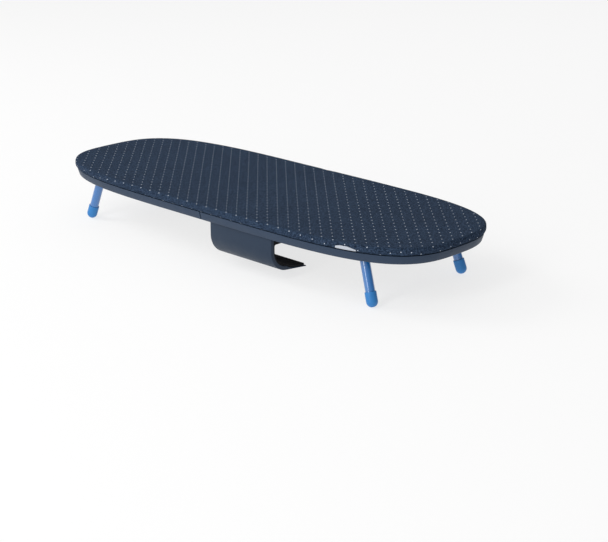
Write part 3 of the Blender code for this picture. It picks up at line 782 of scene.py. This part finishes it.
# ------------------------------------------------------------------ legs
def build_legs(name, side):
    """Bent tube with two legs and a crossbar, and a cap on each foot."""
    ahead = Vector((sin(SPLAY), 0, -cos(SPLAY)))
    flat = Vector((cos(SPLAY), 0, sin(SPLAY)))
    reach = LEG_LENGTH - 0.003
    path = [(reach * share, -LEG_TOP_Y - reach * share * tan(FLARE)) for share in (1, 0.85, 0.7, 0.55, 0.4)]
    middle = -LEG_TOP_Y + BEND_R / cos(FLARE) - BEND_R * tan(FLARE)
    path += arc((BEND_R, middle), BEND_R, 270 - degrees(FLARE), 180, 16)
    path += [(0, y) for y in (-0.07, -0.035)]
    path += [(0, 0)] + [(down, -y) for down, y in reversed(path)]
    rings = []
    for k, (down, y) in enumerate(path):
        before = path[max(k - 1, 0)]
        after = path[min(k + 1, len(path) - 1)]
        along = (ahead * (after[0] - before[0]) + Vector((0, after[1] - before[1], 0))).normalized()
        across = along.cross(flat)
        centre = AXLE + ahead * down + Vector((0, y, 0))
        rings.append([centre + spoke * TUBE_R for spoke in spokes(flat, across, 40)])
    bm = bmesh.new()
    loft(bm, rings)
    mirror_bm(bm, side)
    finish_mesh("bent_tube_" + name, bm, "leg_paint", name + "_legs", ["leg_frame_" + name], sharp=50)

    bore = TUBE_R + FIT
    profile = [(-0.0024, bore), (-0.0158, bore), (-0.0165, bore + 0.0004), (-0.0165, FOOT_R - 0.0011),
               (-0.0163, FOOT_R - 0.0005), (-0.0158, FOOT_R - 0.0001), (-0.0150, FOOT_R), (-0.0060, FOOT_R)]
    tilt = acos(cos(SPLAY) / hypot(1, tan(FLARE)))
    profile += [(FOOT_R * cos(a), FOOT_R * sin(a)) for a in np.linspace(pi / 2, tilt, 10)]
    for edge, sign in EDGES:
        bm = bmesh.new()
        down = ahead + Vector((0, sign * tan(FLARE), 0))
        turned(bm, profile, AXLE + ahead * LEG_LENGTH + Vector((0, sign * LEG_Y, 0)), down, 44)
        mirror_bm(bm, side)
        finish_mesh("rubber_foot_%s_%s" % (name, edge), bm, "foot_plastic", name + "_legs",
                    ["foot_cap_%s_%s" % (name, edge)], sharp=40)


def build_brackets(name, side):
    """Saddle clamps of the crossbar and snap clips of the folded legs."""
    wrap = TUBE_R + FIT
    strap = wrap + 0.002
    low = PLATE_Z - AXLE.z
    half = [(strap, low), (0.0205, low), (0.0205, low + 0.0017), (wrap, low + 0.0017)]
    points = arc((0, 0), strap, 180, 360, 28) + half + arc((0, 0), wrap, 360, 180, 28)
    points += [(-x, z) for x, z in reversed(half)]
    for edge, sign in EDGES:
        where = "%s_%s" % (name, edge)
        y = sign * BRACKET_Y
        bm = bmesh.new()
        prism(bm, [(AXLE.x + x, AXLE.z + z) for x, z in points], y - 0.008, y + 0.008, "Y", 0.0005, 2)
        for reach in (-1, 1):
            web = [(reach * 0.0103, low + 0.0002), (reach * 0.0175, low + 0.0002), (reach * 0.0103, -0.0005)]
            for one, two in ((-0.0078, -0.0066), (0.0066, 0.0078)):
                prism(bm, [(AXLE.x + x, AXLE.z + z) for x, z in web], y + one, y + two, "Y", 0.0002, 1)
        mirror_bm(bm, side)
        piece = finish_mesh("pipe_clamp_" + where, bm, "bracket_plastic", name + "_half",
                            ["axle_bracket_" + where])
        cuts = bmesh.new()
        for shift in (-BRACKET_HOLE, BRACKET_HOLE):
            drill(cuts, AXLE.x + shift, y, PLATE_Z - 0.0015, PLATE_Z + 0.0030, 0.0020)
        mirror_bm(cuts, side)
        boolean(piece, cuts)

        y = sign * (LEG_TOP_Y + (AXLE.x - CLIP_X) * tan(FLARE))
        inner = TUBE_R + 0.0010
        outer = inner + 0.0018
        arm = [(outer, 0.0972), (outer, 0.0835), (inner + 0.0003, 0.0835), (inner - 0.0002, 0.0850),
               (inner, 0.0868), (inner, 0.0950), (inner - 0.0012, 0.0962)]
        clip = [(-dy, z) for dy, z in arm] + arm[::-1]
        bm = bmesh.new()
        prism(bm, [(y + dy, z) for dy, z in clip], CLIP_X - 0.0055, CLIP_X + 0.0055, "X", 0.0004, 2)
        mirror_bm(bm, side)
        finish_mesh("tube_clip_" + where, bm, "bracket_plastic", name + "_half", ["leg_clip_" + where])


# ------------------------------------------------------------------ screws
def screw_mesh(profile, recess, depth):
    """Turned screw along +Z with a cross recess in its head end."""
    bm = bmesh.new()
    turned(bm, profile, (0, 0, 0), UP, 36)
    piece = finish_mesh("screw", bm, "screw_steel")
    cross = bmesh.new()
    head = profile[0][0]
    for turn in (0, pi / 2):
        blade = bmesh.new()
        loft(blade, [[(reach * x, wide * y, z) for x, y in ((-1, -1), (1, -1), (1, 1), (-1, 1))]
                     for reach, wide, z in ((recess, recess * 0.24, head - 0.001),
                                            (recess * 0.95, recess * 0.22, head),
                                            (recess * 0.45, recess * 0.12, head + depth))])
        bmesh.ops.rotate(blade, verts=blade.verts, matrix=Matrix.Rotation(turn, 3, "Z"))
        merge(cross, blade)
    boolean(piece, cross)
    mesh = piece.data
    bpy.data.objects.remove(piece)
    return mesh


def pan_head(head_r, head_t, shank_r, length):
    """Domed screw with a thread of 0.8 mm pitch."""
    dome = [(-head_t * (0.35 + 0.65 * cos(radians(a))), head_r * sin(radians(a)))
            for a in (12, 26, 40, 54, 68, 80, 90)]
    thread = []
    turns = int(length / 0.0008)
    for k in range(1, turns):
        z = length * k / turns
        thread += [(z - 0.0003, shank_r * 0.82), (z, shank_r)]
    return screw_mesh(dome + [(-0.00005, head_r), (0, head_r * 0.97), (0.00002, shank_r)] + thread
                      + [(length, shank_r * 0.4)], head_r * 0.58, head_t * 0.72)


def build_screws():
    small = pan_head(0.0032, 0.0016, 0.0015, 0.0080)
    long = pan_head(0.0040, 0.0020, 0.0017, 0.0165)
    flush = screw_mesh([(-0.1034, 0.0026), (-0.10335, 0.0028), (-0.1020, 0.0014), (-0.0930, 0.0014),
                        (-0.0922, 0.0008)], 0.0016, 0.0009)
    for name, side in SIDES:
        for edge, sign in EDGES:
            for shift, tag in ((-BRACKET_HOLE, "inner"), (BRACKET_HOLE, "outer")):
                where = "%s_%s_%s" % (name, edge, tag)
                at = (side * (AXLE.x + shift), sign * BRACKET_Y, PLATE_Z - FIT)
                turn = Matrix.Rotation(0.7 * shift * 100 + sign, 4, "Z")
                place_mesh("clamp_screw_" + where, small, Matrix.Translation(at) @ turn, "screw_steel",
                           name + "_half", "bracket_screw_" + where)
            for shift, tag in ((-LEAF_SCREW_GAP, "a"), (LEAF_SCREW_GAP, "b")):
                where = "%s_%s_%s" % (name, edge, tag)
                at = (side * LEAF_SCREW_X, sign * HINGE_Y + shift, 0)
                down = Matrix.Rotation(pi, 4, "X") @ Matrix.Rotation(shift * 90, 4, "Z")
                place_mesh("flush_screw_" + where, flush, Matrix.Translation(at) @ down, "screw_steel",
                           name + "_half", "leaf_screw_" + where)
    for k, x in enumerate(HOOK_SCREWS_X):
        at = (x, HOOK_SCREW_Y, HOOK_HIGH.z - 0.0033)
        place_mesh("long_screw_%d" % (k + 1), long, Matrix.Translation(at) @ Matrix.Rotation(0.9 * k, 4, "Z"),
                   "screw_steel", "right_half", "hook_screw_%d" % (k + 1))


# ------------------------------------------------------------------ hinges
def build_leaf(name, side, edge, sign):
    """One leaf: a plate with rounded corners, rolled knuckles and countersunk holes."""
    y = sign * HINGE_Y
    where = "%s_%s" % (name, edge)
    bm = bmesh.new()
    plate = [(SEAM, y - 0.020), (0.029, y - 0.020)] + arc((0.029, y - 0.017), 0.003, 270, 360, 8)
    plate += arc((0.029, y + 0.017), 0.003, 0, 90, 8) + [(SEAM, y + 0.020)]
    prism(bm, plate, 0.1023, 0.1035, "Z", 0.0002, 2)
    mirror_bm(bm, side)
    piece = finish_mesh("hinge_plate_" + where, bm, "hinge_steel", name + "_half", ["hinge_leaf_" + where])
    curl = arc((0, FOLD.z), 0.0022, -30, 240, 36) + [(0.0015, 0.1029), (0.0035, 0.1029)]
    knuckles = bmesh.new()
    spans = ((-0.0199, -0.0070), (0.0070, 0.0199)) if side > 0 else ((-0.0067, 0.0067),)
    for low, high in spans:
        prism(knuckles, curl, y + low, y + high, "Y")
    mirror_bm(knuckles, side)
    boolean(piece, knuckles, "UNION")
    cuts = bmesh.new()
    turned(cuts, ((-0.03, 0.00115), (0.03, 0.00115)), (0, y, FOLD.z), ACROSS, 32)
    for shift in (-LEAF_SCREW_GAP, LEAF_SCREW_GAP):
        turned(cuts, ((0.1019, 0.00165), (0.1037, 0.0035)), (LEAF_SCREW_X, y + shift, 0), UP, 32)
    mirror_bm(cuts, side)
    boolean(piece, cuts)


def build_hinges():
    """Leaves and pins of both hinges, and the pegs that line up the halves."""
    rod = ((-0.0205, 0.0007), (-0.0203, 0.0010), (-0.0200, 0.0011), (0.0200, 0.0011), (0.0203, 0.0010),
           (0.0205, 0.0007))
    peg = ((-0.0095, 0.0021), (-0.0092, 0.0023), (-0.0012, 0.0025), (0.0020, 0.0024), (0.0034, 0.0022),
           (0.0044, 0.0018), (0.0050, 0.0011))
    for edge, sign in EDGES:
        for name, side in SIDES:
            build_leaf(name, side, edge, sign)
        bm = bmesh.new()
        turned(bm, rod, (0, sign * HINGE_Y, FOLD.z), ACROSS, 28)
        finish_mesh("hinge_rod_" + edge, bm, "hinge_steel", "right_half", ["hinge_pin_" + edge])
        bm = bmesh.new()
        turned(bm, peg, (0, sign * PEG_Y, PEG_Z), ALONG, 32)
        finish_mesh("guide_peg_" + edge, bm, "bracket_plastic", "left_half", ["seam_dowel_" + edge])


# ------------------------------------------------------------------ hook
HOOK_BEND_R = 0.040
HOOK_BEND_Z = 0.0584
HOOK_T = 0.0095           # moulded wall and the black lining together
HOOK_WALL = 0.0070
LIP_SLOPE = radians(5.7)
LIP_LENGTH = 0.0498
LIP_TIP_T = 0.0055
LIP_TIP_WALL = 0.0018
LIP_SHARES = (0.03, 0.06, 0.10, 0.15, 0.21, 0.28, 0.36, 0.46, 0.60, 0.78)
WALL_END = 0.97           # shares of the lip's length where the flat part of each layer ends
LINING_END = 0.93
FLANGE_T = 0.003
FLANGE_END = -0.104
SHOULDER_Y = -0.125
SHOULDER_Z = 0.069
SHOULDER_R = 0.003


def hook_line(wall, tip_wall, ends):
    """(y, z) points down the bend and along the lip, at a depth from the hook's outer face."""
    centre = (HOOK_LOW.y + HOOK_BEND_R, HOOK_BEND_Z)
    last = 270 - degrees(LIP_SLOPE)
    heel = Vector(arc(centre, HOOK_BEND_R, last, last, 1)[0])
    ahead = Vector((cos(LIP_SLOPE), -sin(LIP_SLOPE)))
    upward = Vector((sin(LIP_SLOPE), cos(LIP_SLOPE)))
    points = arc(centre, HOOK_BEND_R - wall, 180, last, 24)
    for share in LIP_SHARES + ends:
        thick = tip_wall + (wall - tip_wall) * (1 - min(share, 1)) ** 5
        points.append(tuple(heel + ahead * LIP_LENGTH * share + upward * thick))
    return points


def place_hook(name, points, inset, edge, slot, node, material=None):
    """Section extruded over the hook's width less an inset, its lip's corners rounded in plan."""
    bm = bmesh.new()
    prism(bm, points, HOOK_LOW.x + inset, HOOK_HIGH.x - inset, "X", edge, 3, 62)
    piece = finish_mesh(name, bm, slot, "right_half", [node], sharp=50, material=material)
    cuts = bmesh.new()
    reach = 0.010
    tip = hook_line(0, 0, (1,))[-1][0] + 0.0002
    for end, inward in ((HOOK_LOW.x, 1), (HOOK_HIGH.x, -1)):
        middle = (end + inward * reach, tip - reach)
        curve = [(middle[0] - inward * reach * cos(radians(a)), middle[1] + reach * sin(radians(a)))
                 for a in range(0, 91, 5)]
        beyond = end - inward * 0.004
        outline = curve + [(middle[0], tip + 0.004), (beyond, tip + 0.004), (beyond, middle[1])]
        loft(cuts, [[(x, y, z) for x, y in outline] for z in (0.005, 0.035)])
    for x in HOOK_SCREWS_X:
        drill(cuts, x, HOOK_SCREW_Y, 0.0740, 0.0830, 0.0022)
    boolean(piece, cuts)


def build_hook():
    """Moulded wall with a flange at the top and a lip below, and a black lining on its inner face, its black
    being painted shade of the board over the inside of the hook.
    """
    face = HOOK_LOW.y
    top = HOOK_HIGH.z
    under = top - FLANGE_T
    nose = [hook_line(depth, depth, (end,))[-1]
            for depth, end in ((0.0002, 0.990), (0.0009, 1.0), (0.0016, 0.990))]
    points = [(face, top)] + hook_line(0, 0, (WALL_END,)) + nose
    points += hook_line(HOOK_WALL, LIP_TIP_WALL, (WALL_END,))[::-1]
    points += [(face + HOOK_WALL, under), (FLANGE_END, under), (FLANGE_END, top)]
    # the hook wears the darkened copy of the frame plastic: painted shade
    place_hook("rail_hook", points, 0, 0.0008, "frame_plastic", "door_hook", "shaded_frame_plastic")

    back = hook_line(HOOK_WALL + FIT, LIP_TIP_WALL + FIT, (LINING_END,))
    front = hook_line(HOOK_T, LIP_TIP_T, (LINING_END,))
    shoulder = arc((face + HOOK_T + SHOULDER_R, SHOULDER_Z - SHOULDER_R), SHOULDER_R, 180, 90, 6)
    shoulder += [(SHOULDER_Y, SHOULDER_Z), (SHOULDER_Y, under - FIT), (face + HOOK_WALL + FIT, under - FIT)]
    # the black lining paints the shade inside the hook
    place_hook("dark_lining", back + front[::-1] + shoulder, 0.0008, 0.0004, "lining_rubber", "hook_lining")


# ------------------------------------------------------------------ latch
def build_latch():
    """Turning lever with a grip and a curved slot, its shoulder screw, and the stud that it holds."""
    reach = LATCH_X - STUD_X
    slot = 0.0035
    spot = (LATCH_X, 0)
    low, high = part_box("latch_lever")
    points = arc(spot, reach + slot + 0.003, 173, 198, 14)
    points += arc(spot, 0.010, 235, 305, 12) + arc(spot, 0.046, 352, 368, 10) + arc(spot, 0.010, 60, 120, 12)
    points += [arc(spot, reach - slot, 166, 166, 1)[0]]
    points += arc(spot, reach - slot, 173, 187, 8) + arc(spot, reach + slot, 187, 173, 8)
    bm = bmesh.new()
    prism(bm, points, low.z, high.z, "Z", 0.0005, 2, 50)
    piece = finish_mesh("seam_lock", bm, "latch_plastic", "latch_lever", ["latch_lever"], sharp=40)
    cuts = bmesh.new()
    drill(cuts, LATCH_X, 0, 0.0760, 0.0812, 0.00305, 36)
    for k in range(4):
        at = (LATCH_X + 0.0325 + 0.003 * k, 0, low.z - 0.0002)
        turned(cuts, ((-0.0045, 0.0007), (0.0045, 0.0007)), at, ACROSS, 16)
    boolean(piece, cuts)
    bm = bmesh.new()
    turned(bm, ((0.0750, 0.0036), (0.0751, 0.0041), (0.0756, 0.0048), (0.0762, 0.0050), (0.0768, 0.0050),
                (0.0769, 0.0048), (0.07691, 0.0030), (0.0811, 0.0030), (0.08111, 0.0019), (0.0960, 0.0019)),
           (LATCH_X, 0, 0), UP, 40)
    pivot = finish_mesh("pivot_bolt", bm, "screw_steel", "right_half", ["latch_pivot"])
    hexagon = bmesh.new()
    drill(hexagon, LATCH_X, 0, 0.0740, 0.0762, 0.0022, 6)
    boolean(pivot, hexagon)
    bm = bmesh.new()
    turned(bm, ((0.0779, 0.0022), (0.0780, 0.0026), (0.0785, 0.0030), (0.0807, 0.0030), (0.08071, 0.0019),
                (0.0960, 0.0019)), (STUD_X, 0, 0), UP, 36)
    finish_mesh("catch_stud", bm, "screw_steel", "left_half", ["latch_stud"])


# ------------------------------------------------------------------ label
def build_label():
    """Blank woven tape on the side of the cover, bulged at the top and tapered towards both ends."""
    low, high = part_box("side_label")
    columns, rows = 48, 12
    bm = bmesh.new()
    grid = []
    for i in range(columns + 1):
        u = i / columns
        x = low.x + (high.x - low.x) * u
        left = min(1, u / 0.30)
        right = min(1, (1 - u) / 0.45)
        foot = low.z + 0.0002 + 0.0004 * (1 - left)
        head = high.z - 0.0022 * (1 - left) ** 1.5 - 0.0036 * (1 - right) ** 1.3
        row = []
        for j in range(rows + 1):
            v = j / rows
            swell = (0.0004 + 0.0011 * sin(pi * u) ** 0.6) * sin(pi * (0.08 + 0.60 * v)) * (1 - v ** 6)
            row.append(bm.verts.new((x, -outline_y(x) - 0.0008 - swell, foot + (head - foot) * v)))
        grid.append(row)
    for one, two in zip(grid, grid[1:]):
        for j in range(rows):
            bm.faces.new((one[j], two[j], two[j + 1], one[j + 1]))
    piece = finish_mesh("blank_label", bm, "label_cloth", "right_half", ["side_label"], sharp=60)
    tape = piece.modifiers.new("thickness", "SOLIDIFY")
    tape.thickness = 0.0004
    tape.offset = -1
    return bake(piece)


# ------------------------------------------------------------------ stage, light and camera
LIGHTS = (                # name, place, width, height, watts
    ("strip", (0.45, -3.0, 1.5), 0.80, 3.0, 46),
    ("left", (-2.6, -1.4, 2.2), 1.4, 1.4, 34),
    ("back", (-0.6, 2.8, 2.2), 1.6, 1.6, 6))
LIGHT_AIM = Vector((0, 0, 0.08))
SKY_WAY = (-0.62, -0.75, 0.18)
SKY_DARK = 0.14
SKY_BRIGHT = 0.86


def build_floor():
    """Pale floor that glows a little, so that it stays near white beside a soft shadow."""
    floor_paint = bpy.data.materials.new("floor")
    floor_paint.use_nodes = True
    shader = floor_paint.node_tree.nodes["Principled BSDF"]
    shader.inputs["Base Color"].default_value = (0.29, 0.29, 0.29, 1)
    shader.inputs["Roughness"].default_value = 1.0
    shader.inputs["Specular IOR Level"].default_value = 0.0
    shader.inputs["Emission Color"].default_value = (1, 1, 1, 1)
    shader.inputs["Emission Strength"].default_value = 0.72
    bm = bmesh.new()
    bmesh.ops.create_grid(bm, x_segments=1, y_segments=1, size=30)
    mesh = bpy.data.meshes.new("floor")
    bm.to_mesh(mesh)
    bm.free()
    floor = bpy.data.objects.new("floor", mesh)
    floor.location.z = -0.0002
    mesh.materials.append(floor_paint)
    bpy.context.scene.collection.objects.link(floor)


def build_sky():
    """White surroundings, brighter towards the front left."""
    world = bpy.data.worlds.new("studio")
    world.use_nodes = True
    tree = world.node_tree
    tree.nodes["Background"].inputs["Color"].default_value = (1, 1, 1, 1)
    facing = tree.nodes.new("ShaderNodeTexCoord")
    along = tree.nodes.new("ShaderNodeVectorMath")
    along.operation = "DOT_PRODUCT"
    along.inputs[1].default_value = SKY_WAY
    soft = tree.nodes.new("ShaderNodeMapRange")
    soft.inputs["From Min"].default_value = -1
    soft.inputs["To Min"].default_value = SKY_DARK
    soft.inputs["To Max"].default_value = SKY_BRIGHT
    tree.links.new(facing.outputs["Generated"], along.inputs[0])
    tree.links.new(along.outputs["Value"], soft.inputs["Value"])
    tree.links.new(soft.outputs["Result"], tree.nodes["Background"].inputs["Strength"])
    bpy.context.scene.world = world


def build_lights():
    for name, place, wide, tall, power in LIGHTS:
        light = bpy.data.lights.new(name, "AREA")
        light.shape = "RECTANGLE"
        light.size = wide
        light.size_y = tall
        light.energy = power
        lamp = bpy.data.objects.new(name, light)
        lamp.location = place
        lamp.rotation_euler = (LIGHT_AIM - Vector(place)).to_track_quat("-Z", "Y").to_euler()
        bpy.context.scene.collection.objects.link(lamp)


def build_camera():
    """The photograph's view: from the front right, a little above the board."""
    lens = bpy.data.cameras.new("camera")
    lens.sensor_width = 36
    lens.lens = 87.74
    camera = bpy.data.objects.new("camera", lens)
    camera.location = (1.8497, -1.8215, 0.8367)
    camera.rotation_euler = (radians(90 - 18.92), 0, radians(43.90))
    bpy.context.scene.collection.objects.link(camera)
    bpy.context.scene.camera = camera
    bpy.context.scene.view_settings.view_transform = "Standard"


build_floor()
build_sky()
build_lights()
build_camera()
for half_name, half_side in SIDES:
    build_felt(half_name, half_side)
    build_panel(half_name, half_side)
    build_frame(half_name, half_side)
    build_legs(half_name, half_side)
    build_brackets(half_name, half_side)
build_cover(build_label())
build_hinges()
build_screws()
build_hook()
build_latch()
